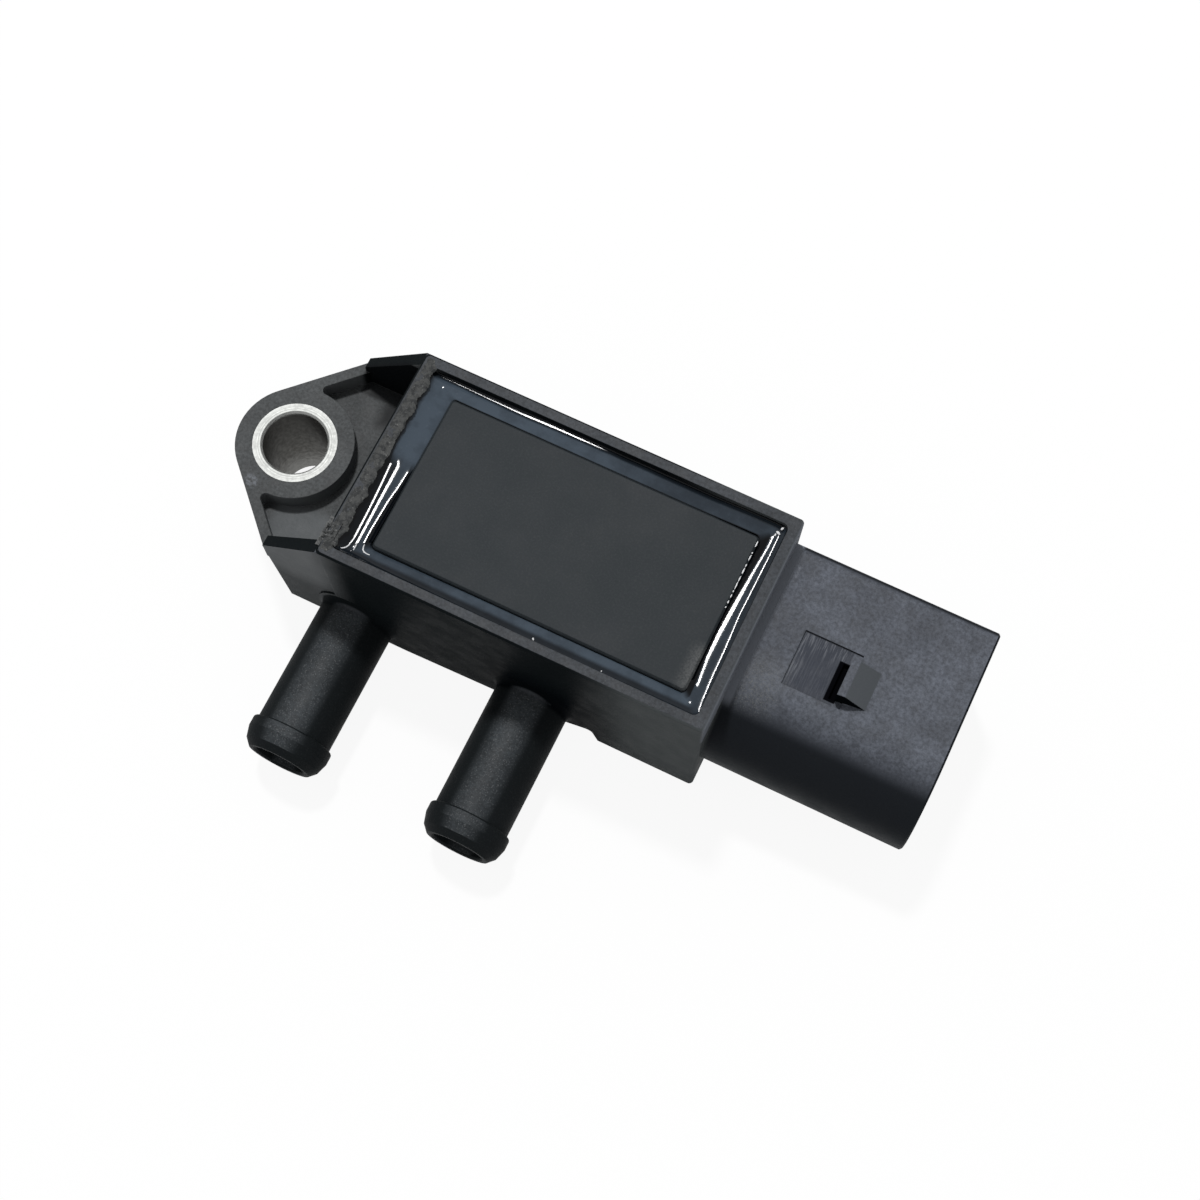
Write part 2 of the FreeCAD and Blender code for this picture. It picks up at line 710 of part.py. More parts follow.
def board_bond():
    """Adhesive pad under the board, open over the gas hole and round the legs."""
    inset = BOND_INSET
    pad = box(
        board_x0 + inset, board_x1 - inset, board_y0 + inset, board_y1 - inset, tub_floor, board_bottom)
    holes = board_holes(LEG_HOLE / 2, tub_floor - OVERRUN, board_bottom + OVERRUN)
    holes.append(rod_z(GAS_HOLE / 2, port_2_x, 0, tub_floor - OVERRUN, board_bottom + OVERRUN))
    return pad.cut(holes)


def solder_joint(index):
    """Solder that fills a leg's hole and rises in a cone on the board."""
    y = leg_y(index)
    plug = rod_z(LEG_HOLE / 2, leg_x, y, board_bottom, board_top)
    foot = Part.makeCone(SOLDER_FOOT / 2, LEG_HOLE / 2, SOLDER_HEIGHT, vec(leg_x, y, board_top))
    return plug.fuse(foot).cut(terminal(index)).removeSplitter()


def solder_joints():
    return Part.makeCompound([solder_joint(index) for index in range(3)])


def cell_box(inset, z0, z1):
    half = CELL_SIZE / 2 - inset
    return box(port_2_x - half, port_2_x + half, -half, half, z0, z1)


def cell_frame():
    top = cell_bottom + CELL_HEIGHT
    return cell_box(0, cell_bottom, top).cut(cell_box(CELL_WALL, cell_bottom, top))


def frame_adhesive():
    return cell_box(0, board_top, cell_bottom).cut(cell_box(CELL_WALL, board_top, cell_bottom))


def square_post(size, z0, z1):
    half = size / 2
    return box(port_2_x - half, port_2_x + half, -half, half, z0, z1)


def glass_pedestal():
    post = square_post(PEDESTAL_SIZE, board_top, pedestal_top)
    return post.cut(rod_z(PEDESTAL_HOLE / 2, port_2_x, 0, board_top - OVERRUN, pedestal_top + OVERRUN))


def square_loop(size, z):
    half = size / 2
    x = port_2_x
    return polygon([(x - half, -half, z), (x + half, -half, z), (x + half, half, z), (x - half, half, z)])


def sense_chip():
    """Silicon chip, etched away from below to a thin diaphragm."""
    chip = square_post(CHIP_SIZE, pedestal_top, chip_top)
    depth = CHIP_HEIGHT - DIAPHRAGM
    mouth = CHIP_SIZE - 2 * CHIP_EDGE
    wide = square_loop(mouth, pedestal_top)
    narrow = square_loop(mouth - 2 * depth / math.sqrt(2), pedestal_top + depth)
    return chip.cut(Part.makeLoft([wide, narrow], True, True))


def bond_wire(side, index):
    """Wire that rises from the chip, bends over and slants down to the board."""
    y = (index - (WIRE_COUNT - 1) / 2) * WIRE_PITCH
    radius = WIRE_DIAMETER / 2
    foot_x = CHIP_SIZE / 2 - CHIP_EDGE / 2
    bend_x = foot_x + WIRE_BEND
    end_x = CELL_SIZE / 2 - CELL_WALL - WIRE_END_INSET
    angle = touch_angle(end_x - bend_x, board_top - chip_top, WIRE_BEND)
    touch_x = bend_x + WIRE_BEND * math.cos(angle)
    touch_z = chip_top + WIRE_BEND * math.sin(angle)
    section = Part.Face(Part.Wire([Part.makeCircle(radius, vec(foot_x, y, chip_top))]))
    swing = 180 - math.degrees(angle)
    bend = section.revolve(vec(bend_x, y, chip_top), vec(0, 1, 0), swing)
    slant = vec(end_x - touch_x, 0, board_top - touch_z)
    reach = slant.Length + WIRE_DIAMETER
    straight = Part.makeCylinder(radius, reach, vec(touch_x, y, touch_z), slant)
    over_board = box(0, CELL_SIZE, y - CELL_SIZE, y + CELL_SIZE, board_top, touch_z + CELL_SIZE)
    wire = bend.fuse(straight.common(over_board))
    if side < 0:
        wire = wire.mirror(vec(0, 0, 0), vec(1, 0, 0))
    wire.translate(vec(port_2_x, 0, 0))
    return wire


def bond_wires():
    wires = []
    for side in (-1, 1):
        for index in range(WIRE_COUNT):
            wires.extend(bond_wire(side, index).Solids)
    return Part.makeCompound(wires)


def cell_gel():
    """Soft gel that covers the chip and its wires."""
    fill = cell_box(CELL_WALL, board_top, board_top + GEL_DEPTH)
    fill = fill.cut([square_post(PEDESTAL_SIZE, board_top, pedestal_top)])
    fill = fill.cut([square_post(CHIP_SIZE, pedestal_top, chip_top)])
    return fill.cut(bond_wires().Solids)


def signal_x0():
    return board_x0 + SIGNAL_INSET


def signal_chip():
    x0 = signal_x0()
    half = SIGNAL_WIDTH / 2
    z0 = board_top + SIGNAL_STAND
    return box(x0, x0 + SIGNAL_LENGTH, -half, half, z0, z0 + SIGNAL_HEIGHT)


def lead(side, index):
    """Gull-wing lead, from the chip's flank down to the board."""
    x = signal_x0() + SIGNAL_LENGTH / 2 + (index - (LEAD_COUNT - 1) / 2) * LEAD_PITCH - LEAD_WIDTH / 2
    flank = SIGNAL_WIDTH / 2
    knee = flank + LEAD_REACH - LEAD_FOOT
    toe = flank + LEAD_REACH
    z_top = board_top + SIGNAL_STAND + SIGNAL_HEIGHT / 2
    thick = LEAD_THICKNESS
    points = [
        (flank, z_top),
        (knee, z_top),
        (knee, board_top + thick),
        (toe, board_top + thick),
        (toe, board_top),
        (knee - thick, board_top),
        (knee - thick, z_top - thick),
        (flank, z_top - thick),
    ]
    return extrude(polygon([(x, side * y, z) for y, z in points]), LEAD_WIDTH, 0, 0)


def signal_chip_leads():
    return Part.makeCompound([lead(side, index) for side in (-1, 1) for index in range(LEAD_COUNT)])


def chip_part(length, width, height, y):
    """Small ceramic part that lies along Y, midway between the signal chip and the cell."""
    x = (signal_x0() + SIGNAL_LENGTH + port_2_x - CELL_SIZE / 2) / 2
    return box(x - width / 2, x + width / 2, y - length / 2, y + length / 2, board_top, board_top + height)


def capacitors():
    places = [-CHIP_PART_PITCH / 2, CHIP_PART_PITCH / 2]
    return Part.makeCompound(
        [chip_part(CAPACITOR_LENGTH, CAPACITOR_WIDTH, CAPACITOR_HEIGHT, y) for y in places])


def resistors():
    places = [-CHIP_PART_PITCH * 1.5, CHIP_PART_PITCH * 1.5]
    return Part.makeCompound(
        [chip_part(RESISTOR_LENGTH, RESISTOR_WIDTH, RESISTOR_HEIGHT, y) for y in places])


def export(name, shape):
    shape.exportStep("parts/" + name + ".step")


def main():
    os.makedirs("parts", exist_ok=True)
    inserts = terminals()
    export("housing", housing(inserts))
    export("mounting_bush", mounting_bush())
    export("cover", cover())
    export("adhesive_bead", adhesive_bead())
    export("circuit_board", circuit_board())
    export("board_bond", board_bond())
    export("terminal_supply", inserts[0])
    export("terminal_signal", inserts[1])
    export("terminal_ground", inserts[2])
    export("solder_joints", solder_joints())
    export("cell_frame", cell_frame())
    export("frame_adhesive", frame_adhesive())
    export("glass_pedestal", glass_pedestal())
    export("sense_chip", sense_chip())
    export("bond_wires", bond_wires())
    export("cell_gel", cell_gel())
    export("signal_chip", signal_chip())
    export("signal_chip_leads", signal_chip_leads())
    export("capacitors", capacitors())
    export("resistors", resistors())


main()
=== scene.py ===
import math

import bmesh
import bpy
from mathutils import Matrix, Vector, noise
from mathutils.bvhtree import BVHTree


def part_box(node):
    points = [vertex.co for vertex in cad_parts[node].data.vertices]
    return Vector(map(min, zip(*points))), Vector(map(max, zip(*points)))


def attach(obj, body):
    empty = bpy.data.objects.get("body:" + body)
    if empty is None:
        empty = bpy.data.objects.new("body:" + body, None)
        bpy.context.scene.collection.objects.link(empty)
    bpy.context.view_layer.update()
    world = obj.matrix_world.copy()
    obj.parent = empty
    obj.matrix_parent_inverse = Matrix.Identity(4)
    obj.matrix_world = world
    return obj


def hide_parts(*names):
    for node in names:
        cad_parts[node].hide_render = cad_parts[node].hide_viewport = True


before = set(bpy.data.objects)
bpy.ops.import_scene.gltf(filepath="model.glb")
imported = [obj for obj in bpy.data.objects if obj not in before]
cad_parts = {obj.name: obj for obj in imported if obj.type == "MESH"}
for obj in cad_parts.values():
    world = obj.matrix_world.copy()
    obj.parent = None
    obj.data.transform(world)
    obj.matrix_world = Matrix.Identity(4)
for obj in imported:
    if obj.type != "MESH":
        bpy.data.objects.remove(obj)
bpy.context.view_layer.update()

MM = 0.001

# Levels read from the frame, in millimetres
bead_low, bead_high = [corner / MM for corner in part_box("adhesive_bead")]
cover_low, cover_high = [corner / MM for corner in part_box("cover")]
rim_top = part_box("housing")[1].z / MM
channel_floor = bead_low.z
tongue_bottom = cover_low.z
cover_top = cover_high.z
TONGUE_WIDTH = 0.9
TONGUE_DEPTH = 0.8
TONGUE_CLEARANCE = 0.2


# Materials


class Graph:
    """Node tree of one material, with a short call for each kind of node."""

    def __init__(self, name):
        self.material = bpy.data.materials.new(name)
        self.material.use_nodes = True
        self.nodes = self.material.node_tree.nodes
        self.links = self.material.node_tree.links
        self.nodes.clear()
        self.output = self.nodes.new("ShaderNodeOutputMaterial")
        coordinates = self.add("ShaderNodeTexCoord")
        scaled = {0: coordinates.outputs["Object"], "Scale": 1 / MM}
        self.place = self.add("ShaderNodeVectorMath", scaled, operation="SCALE").outputs[0]
        self.normal = coordinates.outputs["Normal"]

    def add(self, kind, inputs=None, **settings):
        node = self.nodes.new(kind)
        for key, value in settings.items():
            setattr(node, key, value)
        for key, value in (inputs or {}).items():
            if isinstance(value, bpy.types.NodeSocket):
                self.links.new(value, node.inputs[key])
            else:
                node.inputs[key].default_value = value
        return node

    def math(self, operation, a, b=0.0):
        return self.add("ShaderNodeMath", {0: a, 1: b}, operation=operation).outputs[0]

    def axis(self, vector, letter):
        return self.add("ShaderNodeSeparateXYZ", {0: vector}).outputs["XYZ".index(letter)]

    def step(self, value, low, high, start=0.0, end=1.0):
        """Smooth step from start to end as value goes from low to high."""
        inputs = {"Value": value, "From Min": low, "From Max": high, "To Min": start, "To Max": end}
        return self.add("ShaderNodeMapRange", inputs, interpolation_type="SMOOTHSTEP").outputs[0]

    def band(self, value, low, high, soft):
        """1 between low and high, and 0 outside."""
        rise = self.step(value, low - soft, low + soft)
        fall = self.step(value, high - soft, high + soft, 1.0, 0.0)
        return self.math("MULTIPLY", rise, fall)

    def window(self, x, y, soft, z=None):
        """1 inside a box of the part, in millimetres."""
        mask = self.math("MULTIPLY", self.band(self.axis(self.place, "X"), *x, soft),
                         self.band(self.axis(self.place, "Y"), *y, soft))
        if z:
            mask = self.math("MULTIPLY", mask, self.band(self.axis(self.place, "Z"), *z, soft))
        return mask

    def noise(self, scale, detail=2.0, roughness=0.5, stretch=None, distortion=0.0):
        """Noise with scale features to the millimetre."""
        place = self.place
        if stretch:
            stretched = {0: place, 1: stretch}
            place = self.add("ShaderNodeVectorMath", stretched, operation="MULTIPLY").outputs[0]
        inputs = {"Vector": place, "Scale": scale, "Detail": detail, "Roughness": roughness,
                  "Distortion": distortion}
        return self.add("ShaderNodeTexNoise", inputs).outputs[0]

    def mix(self, factor, a, b, blend="MIX"):
        """Colour mixed from a at factor 0 to b at factor 1."""
        inputs = {0: factor, 6: a, 7: b}
        return self.add("ShaderNodeMix", inputs, data_type="RGBA", blend_type=blend).outputs[2]

    def bump(self, height, distance_mm, normal=None):
        inputs = {"Height": height, "Distance": distance_mm * MM, "Strength": 1.0}
        if normal is not None:
            inputs["Normal"] = normal
        return self.add("ShaderNodeBump", inputs).outputs[0]

    def soft_edges(self, radius_mm):
        """Normal that rounds the sharp edges by a small radius."""
        return self.add("ShaderNodeBevel", {"Radius": radius_mm * MM}, samples=6).outputs[0]

    def finish(self, **inputs):
        shader = self.add("ShaderNodeBsdfPrincipled", inputs)
        self.links.new(shader.outputs[0], self.output.inputs[0])
        return self.material


def rgb(red, green, blue):
    return (red, green, blue, 1.0)


# Near-black used for painted shade
SHADE_BLACK = rgb(0.002, 0.003, 0.004)
CONNECTOR_START = (50.1, 50.6)
NIPPLES_END = (-12.6, -12.0)
EAR_END = (9.5, 9.9)
EDGE_RADIUS = 0.12


def housing_plastic():
    """Black glass-filled moulding, with a painted sheen where it faces up and painted shade on its darker,
    smoother flanks.
    """
    g = Graph("housing_plastic")
    x = g.axis(g.place, "X")
    y = g.axis(g.place, "Y")
    z = g.axis(g.place, "Z")
    tilt = g.axis(g.normal, "Z")
    upward = g.step(tilt, 0.80, 0.995)
    connector = g.step(x, *CONNECTOR_START)
    nipples = g.step(y, *NIPPLES_END, 1.0, 0.0)
    ear = g.math("MULTIPLY", g.step(x, *EAR_END, 1.0, 0.0), g.step(z, 15.0, 17.0, 1.0, 0.0))
    cloud = g.noise(0.45, 3.0, 0.6)
    grain = g.noise(3.2, 3.0, 0.65)
    fine = g.noise(7.0, 2.0, 0.6)

    # Faces that look up get a painted sheen, and the flanks get painted shade: lighter toward +x, painted
    # light on the ear's front wall, painted shade round the nipples' roots, and on the shroud a painted
    # shade that changes with its tilt
    up_face_sheen = g.mix(ear, rgb(0.036, 0.040, 0.046), rgb(0.055, 0.059, 0.061))
    up_face_sheen = g.mix(connector, up_face_sheen, rgb(0.078, 0.086, 0.104))
    up_face_sheen = g.mix(nipples, up_face_sheen, rgb(0.031, 0.036, 0.040))
    # Painted shade on the flanks, lighter toward +x
    shaded_flank = g.mix(g.step(x, 36.0, 45.0), rgb(0.007, 0.009, 0.010), rgb(0.068, 0.075, 0.077))
    # Painted light on the ear's front wall
    ear_front_light = g.math("MULTIPLY", g.step(x, 8.0, 13.0, 1.0, 0.0), g.step(z, 6.0, 12.0, 0.5, 1.0))
    ear_front_light = g.math("MULTIPLY", ear_front_light, g.step(tilt, 0.15, 0.35, 1.0, 0.0))
    shaded_flank = g.mix(ear_front_light, shaded_flank, rgb(0.145, 0.153, 0.158))
    # Painted shade round the nipples' roots
    root = g.math("MULTIPLY", g.band(x, 27.0, 40.0, 2.5), g.step(z, 8.0, 17.0, 1.0, 0.2))
    shaded_flank = g.mix(root, shaded_flank, SHADE_BLACK)
    shaded_flank = g.mix(nipples, shaded_flank, rgb(0.010, 0.012, 0.013))
    # Painted shade on the shroud that changes with its tilt
    shroud_shade = g.mix(g.step(tilt, 0.0, 0.45), rgb(0.026, 0.029, 0.032), rgb(0.013, 0.015, 0.018))
    shaded_flank = g.mix(connector, shaded_flank, shroud_shade)
    colour = g.mix(upward, shaded_flank, up_face_sheen)

    # Mottle, and pale filler specks that are partly painted glints, both weaker on the flanks
    strength = g.step(upward, 0.0, 1.0, 0.1, 1.0)
    mottle = g.math("MULTIPLY", g.step(cloud, 0.3, 0.7, 0.85, 1.15), g.step(grain, 0.25, 0.75, 0.65, 1.35))
    swirl = g.noise(0.2, 3.0, 0.6, None, 0.6)
    mottle = g.math("MULTIPLY", mottle, g.step(swirl, 0.3, 0.7, 0.84, 1.16))
    mottle = g.math("ADD", g.math("MULTIPLY", g.math("SUBTRACT", mottle, 1.0), strength), 1.0)
    colour = g.mix(1.0, colour, mottle, "MULTIPLY")
    # Pale filler specks, painted as glints mostly where faces look up
    speck_and_glint = g.math("ADD", fine, g.math("MULTIPLY", nipples, 0.07))
    speck_and_glint = g.math("MULTIPLY", g.step(speck_and_glint, 0.62, 0.78), strength)
    speck_and_glint = g.math("MULTIPLY", speck_and_glint, g.mix(nipples, rgb(0.40, 0.40, 0.40), rgb(0.8, 0.8, 0.8)))
    colour = g.mix(speck_and_glint, colour, g.mix(nipples, rgb(0.17, 0.175, 0.18), rgb(0.11, 0.115, 0.12)))

    # Ear pocket: painted light on its sunny side, painted shadow under the web at the back
    sunny = g.window((1.0, 9.7), (-10.5, -5.0), 0.8, (11.2, 12.0))
    colour = g.mix(sunny, colour, rgb(0.115, 0.124, 0.130))
    shaded = g.math("MAXIMUM", g.window((5.5, 9.9), (5.8, 11.3), 0.8, (11.0, 13.0)),
                    g.window((2.6, 9.9), (8.6, 10.5), 0.25, (11.0, 20.5)))
    colour = g.mix(shaded, colour, rgb(0.006, 0.007, 0.008))

    # Lug: painted sheen on its ramp, painted shade on its sides, and a painted shadow that blackens and
    # widens the slot along its foot
    lug = g.window((59.7, 63.0), (-2.6, 2.4), 0.05, (17.85, 20.2))
    ramp_sheen = g.math("MULTIPLY", lug, g.band(tilt, 0.5, 0.9, 0.08))
    colour = g.mix(ramp_sheen, colour, rgb(0.095, 0.104, 0.114))
    lug_side_shade = g.math("MULTIPLY", lug, g.step(tilt, 0.2, 0.4, 1.0, 0.0))
    colour = g.mix(lug_side_shade, colour, SHADE_BLACK)
    slot_shadow = g.window((58.75, 59.9), (-2.6, 1.6), 0.06, (16.0, 17.85))

    # Drag marks in the panel beside the lug
    panel = g.window((54.7, 59.7), (-2.85, 2.85), 0.1, (17.5, 17.95))
    strokes = g.noise(7.0, 2.0, 0.7, (1.0, 0.07, 1.0))
    edges = g.math("MAXIMUM", g.step(y, 0.2, 2.6), g.step(x, 56.0, 54.9))
    marks = g.math("MULTIPLY", panel, g.step(strokes, 0.45, 0.66))
    marks = g.math("MULTIPLY", marks, g.step(edges, 0.0, 1.0, 0.2, 0.9))
    colour = g.mix(g.math("MULTIPLY", panel, 0.9), colour, rgb(0.027, 0.032, 0.045))
    colour = g.mix(marks, colour, rgb(0.130, 0.138, 0.158))
    seam = g.math("SUBTRACT", g.window((54.72, 59.8), (-2.92, 2.92), 0.02, (17.9, 18.1)),
                  g.window((54.84, 59.8), (-2.80, 2.80), 0.02, (17.9, 18.1)))
    colour = g.mix(g.math("MULTIPLY", seam, 0.8), colour, rgb(0.008, 0.009, 0.010))
    # Painted shadow in the slot beside the lug
    colour = g.mix(slot_shadow, colour, rgb(0.002, 0.002, 0.003))

    # Light smears on the connector and the ear, pale speckles on the connector, and painted light beside
    # the block that lifts the block's shadow on the connector
    smear = g.window((51.40, 51.60), (6.8, 8.5), 0.12, (17.5, 18.2))
    other = g.window((61.8, 62.0), (9.3, 10.1), 0.12, (17.0, 18.2))
    third = g.window((-2.6, -1.2), (-6.2, -4.9), 0.3, (13.5, 14.0))
    smears = g.math("MAXIMUM", g.math("MAXIMUM", smear, other), third)
    smears = g.math("MULTIPLY", smears, g.step(g.noise(2.6, 3.0, 0.7), 0.42, 0.62))
    colour = g.mix(g.math("MULTIPLY", smears, 0.6), colour, rgb(0.20, 0.215, 0.245))
    speckled = g.window((51.0, 54.6), (-6.4, -1.5), 1.2, (17.0, 18.2))
    speckled = g.math("MULTIPLY", speckled, g.step(fine, 0.50, 0.66, 0.15, 0.9))
    colour = g.mix(speckled, colour, rgb(0.150, 0.153, 0.150))
    # Painted light that lifts the block's shadow on the connector
    block_shadow_fill = g.math("MULTIPLY", g.band(x, 50.2, 51.1, 0.18), g.step(z, 16.8, 17.4))
    colour = g.mix(g.math("MULTIPLY", block_shadow_fill, 0.9), colour, rgb(0.185, 0.200, 0.230))

    relief = g.math("ADD", g.math("MULTIPLY", grain, 0.7), g.math("MULTIPLY", fine, 0.3))
    relief = g.math("ADD", relief, g.math("MULTIPLY", marks, 0.4))

    # Little shine on the flanks, and none in the slot and on the lug's sides
    least = g.step(g.math("MAXIMUM", nipples, connector), 0.0, 1.0, 0.006, 0.02)
    shine = g.math("MAXIMUM", g.math("MULTIPLY", upward, 0.16), least)
    shine = g.math("MULTIPLY", shine, g.step(g.math("MAXIMUM", slot_shadow, lug_side_shade), 0.0, 1.0, 1.0, 0.02))
    return g.finish(**{
        "Base Color": colour,
        "Roughness": g.step(cloud, 0.3, 0.7, 0.46, 0.58),
        "Specular IOR Level": shine,
        "Normal": g.bump(relief, 0.035, g.soft_edges(EDGE_RADIUS)),
    })


def rough_plastic():
    """Torn, frayed plastic with pale crumbs and dark pits."""
    g = Graph("frayed_plastic")
    crumbs = g.noise(3.0, 4.0, 0.75)
    pits = g.noise(1.8, 3.0, 0.7)
    colour = g.mix(g.step(pits, 0.40, 0.58), rgb(0.028, 0.030, 0.031), rgb(0.066, 0.068, 0.067))
    colour = g.mix(g.step(crumbs, 0.58, 0.72, 0.0, 0.8), colour, rgb(0.22, 0.22, 0.215))
    return g.finish(**{
        "Base Color": colour,
        "Roughness": 0.62,
        "Specular IOR Level": 0.2,
        "Normal": g.bump(crumbs, 0.10),
    })


def cover_plastic():
    """Smooth plate with a faint grain and a pale patch of painted sheen at its right front corner."""
    g = Graph("cover_plastic")
    cloud = g.noise(0.16, 3.0, 0.6)
    grain = g.noise(4.5, 3.0, 0.7)
    stains = g.noise(0.7, 4.0, 0.7)
    colour = g.mix(g.step(cloud, 0.35, 0.65), rgb(0.0145, 0.0185, 0.0220), rgb(0.0190, 0.0235, 0.0270))
    colour = g.mix(g.step(grain, 0.40, 0.8, 0.0, 0.25), colour, rgb(0.050, 0.056, 0.060))
    colour = g.mix(g.step(stains, 0.62, 0.80, 0.0, 0.35), colour, rgb(0.050, 0.054, 0.056))
    # Painted sheen at the right front corner
    corner = g.window((46.2, 47.6), (-8.6, -4.0), 0.9)
    corner_sheen = g.math("MULTIPLY", corner, g.step(grain, 0.3, 0.65, 0.25, 0.9))
    colour = g.mix(corner_sheen, colour, rgb(0.100, 0.103, 0.104))
    return g.finish(**{
        "Base Color": colour,
        "Roughness": g.step(cloud, 0.3, 0.7, 0.50, 0.58),
        "Specular IOR Level": 0.14,
        "Normal": g.bump(grain, 0.012, g.soft_edges(EDGE_RADIUS)),
    })


def adhesive_gloss():
    """Glossy cured adhesive, nearly black, with a painted blue-grey sheen and painted glints in its middle,
    and painted shade at its edges.
    """
    g = Graph("adhesive_gloss")
    # Painted blue-grey sheen, carried by an attribute of the mesh
    painted_sheen = g.add("ShaderNodeAttribute", attribute_name="painted_sheen").outputs["Fac"]
    cloud = g.noise(0.5, 3.0, 0.6)
    grain = g.noise(3.0, 3.0, 0.7)
    painted_sheen = g.math("MULTIPLY", painted_sheen, g.step(cloud, 0.3, 0.7, 0.8, 1.15))
    colour = g.mix(painted_sheen, rgb(0.0010, 0.0014, 0.0024), rgb(0.058, 0.077, 0.100))
    # Painted glints within the sheen
    glints = g.math("MULTIPLY", painted_sheen, g.step(grain, 0.55, 0.8, 0.0, 0.35))
    colour = g.mix(glints, colour, rgb(0.10, 0.12, 0.15))
    return g.finish(**{
        "Base Color": colour,
        "Roughness": 0.10,
        "Specular IOR Level": 0.12,
    })


def bush_metal():
    """Satin metal ring with fine marks round its axis, and a bore with painted shade, lighter toward its
    bottom and crossed by a darker slanted band.
    """
    g = Graph("bush_metal")
    flattened = {0: g.place, 1: (1.0, 1.0, 0.0)}
    flat = g.add("ShaderNodeVectorMath", flattened, operation="MULTIPLY").outputs[0]
    radius = g.add("ShaderNodeVectorMath", {0: flat}, operation="LENGTH").outputs["Value"]
    circles = {"W": radius, "Scale": 9.0, "Detail": 3.0}
    rings = g.add("ShaderNodeTexNoise", circles, noise_dimensions="1D").outputs[0]
    spots = g.noise(2.2, 3.0, 0.65)
    height = g.math("ADD", g.math("MULTIPLY", rings, 0.5), g.math("MULTIPLY", spots, 0.5))
    colour = g.mix(g.step(height, 0.32, 0.56), rgb(0.22, 0.225, 0.215), rgb(0.335, 0.34, 0.33))
    x = g.axis(g.place, "X")
    z = g.axis(g.place, "Z")
    # Painted shade in the bore, lighter toward its bottom, with a darker slanted band
    depth = g.math("ADD", z, g.math("MULTIPLY", spots, 2.0))
    bore_shade = g.mix(g.step(depth, 2.0, 6.0), rgb(0.20, 0.20, 0.19), rgb(0.100, 0.098, 0.089))
    slant = g.band(g.math("ADD", x, g.math("MULTIPLY", z, 0.25)), 2.6, 4.4, 0.25)
    bore_shade = g.mix(g.math("MULTIPLY", slant, 0.6), bore_shade, rgb(0.040, 0.034, 0.028))
    inside = g.math("MULTIPLY", g.step(radius, 3.35, 3.45, 1.0, 0.0), g.step(z, 13.2, 13.5, 1.0, 0.0))
    return g.finish(**{
        "Base Color": g.mix(inside, colour, bore_shade),
        "Metallic": 1.0,
        "Roughness": g.step(spots, 0.3, 0.7, 0.49, 0.61),
        "Normal": g.bump(height, 0.012),
    })


STAIN_DARKNESS = 0.7


def stamped_metal(name, colour, roughness):
    """Plated or soldered metal with faint stains and fine strokes."""
    g = Graph(name)
    stains = g.noise(1.1, 4.0, 0.65)
    strokes = g.noise(9.0, 2.0, 0.6, (0.15, 1.0, 1.0))
    bright = rgb(*colour)
    dull = rgb(*[value * STAIN_DARKNESS for value in colour])
    return g.finish(**{
        "Base Color": g.mix(g.step(stains, 0.3, 0.6), dull, bright),
        "Metallic": 1.0,
        "Roughness": g.step(stains, 0.3, 0.7, roughness, roughness + 0.12),
        "Normal": g.bump(strokes, 0.004),
    })


def grained(name, dark, light, scale, roughness, relief_mm, specular=0.4):
    """Non-metal with a grain between two colours."""
    g = Graph(name)
    grain = g.noise(scale, 3.0, 0.65)
    return g.finish(**{
        "Base Color": g.mix(g.step(grain, 0.35, 0.65), rgb(*dark), rgb(*light)),
        "Roughness": roughness,
        "Specular IOR Level": specular,
        "Normal": g.bump(grain, relief_mm),
    })


def sensor_gel():
    """Soft clear gel over the sensing chip."""
    g = Graph("sensor_gel")
    swirl = g.noise(1.5, 2.0, 0.5)
    return g.finish(**{
        "Base Color": g.mix(g.step(swirl, 0.3, 0.7), rgb(0.72, 0.76, 0.78), rgb(0.85, 0.88, 0.90)),
        "Roughness": 0.08,
        "Transmission Weight": 0.85,
        "IOR": 1.41,
        "Normal": g.bump(swirl, 0.01),
    })


housing_finish = housing_plastic()
tin = stamped_metal("terminal_tin", (0.78, 0.78, 0.76), 0.30)
ceramic = grained("ceramic", (0.40, 0.29, 0.18), (0.55, 0.42, 0.28), 4.0, 0.55, 0.01)
soft_glue = grained("board_glue", (0.30, 0.30, 0.29), (0.42, 0.42, 0.41), 2.0, 0.6, 0.02)
finishes = {
    "housing": housing_finish,
    "mounting_bush": bush_metal(),
    "cover": cover_plastic(),
    "circuit_board": grained("board_laminate", (0.010, 0.075, 0.035), (0.02, 0.12, 0.055), 2.5, 0.35, 0.01),
    "board_bond": soft_glue,
    "terminal_supply": tin,
    "terminal_signal": tin,
    "terminal_ground": tin,
    "solder_joints": stamped_metal("solder", (0.72, 0.73, 0.74), 0.18),
    "cell_frame": grained("cell_plastic", (0.66, 0.63, 0.55), (0.80, 0.78, 0.70), 1.2, 0.5, 0.01),
    "frame_adhesive": soft_glue,
    "glass_pedestal": grained("pedestal_glass", (0.62, 0.68, 0.68), (0.75, 0.80, 0.80), 6.0, 0.3, 0.005),
    "sense_chip": grained("silicon", (0.16, 0.18, 0.24), (0.22, 0.24, 0.30), 1.0, 0.12, 0.002, 0.8),
    "bond_wires": stamped_metal("gold", (0.90, 0.70, 0.30), 0.15),
    "cell_gel": sensor_gel(),
    "signal_chip": grained("chip_plastic", (0.018, 0.018, 0.020), (0.035, 0.035, 0.038), 6.0, 0.5, 0.008),
    "signal_chip_leads": tin,
    "capacitors": ceramic,
    "resistors": ceramic,
}
for name, material in finishes.items():
    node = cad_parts[name]
    node.data.materials.clear()
    node.data.materials.append(material)


# Mesh helpers


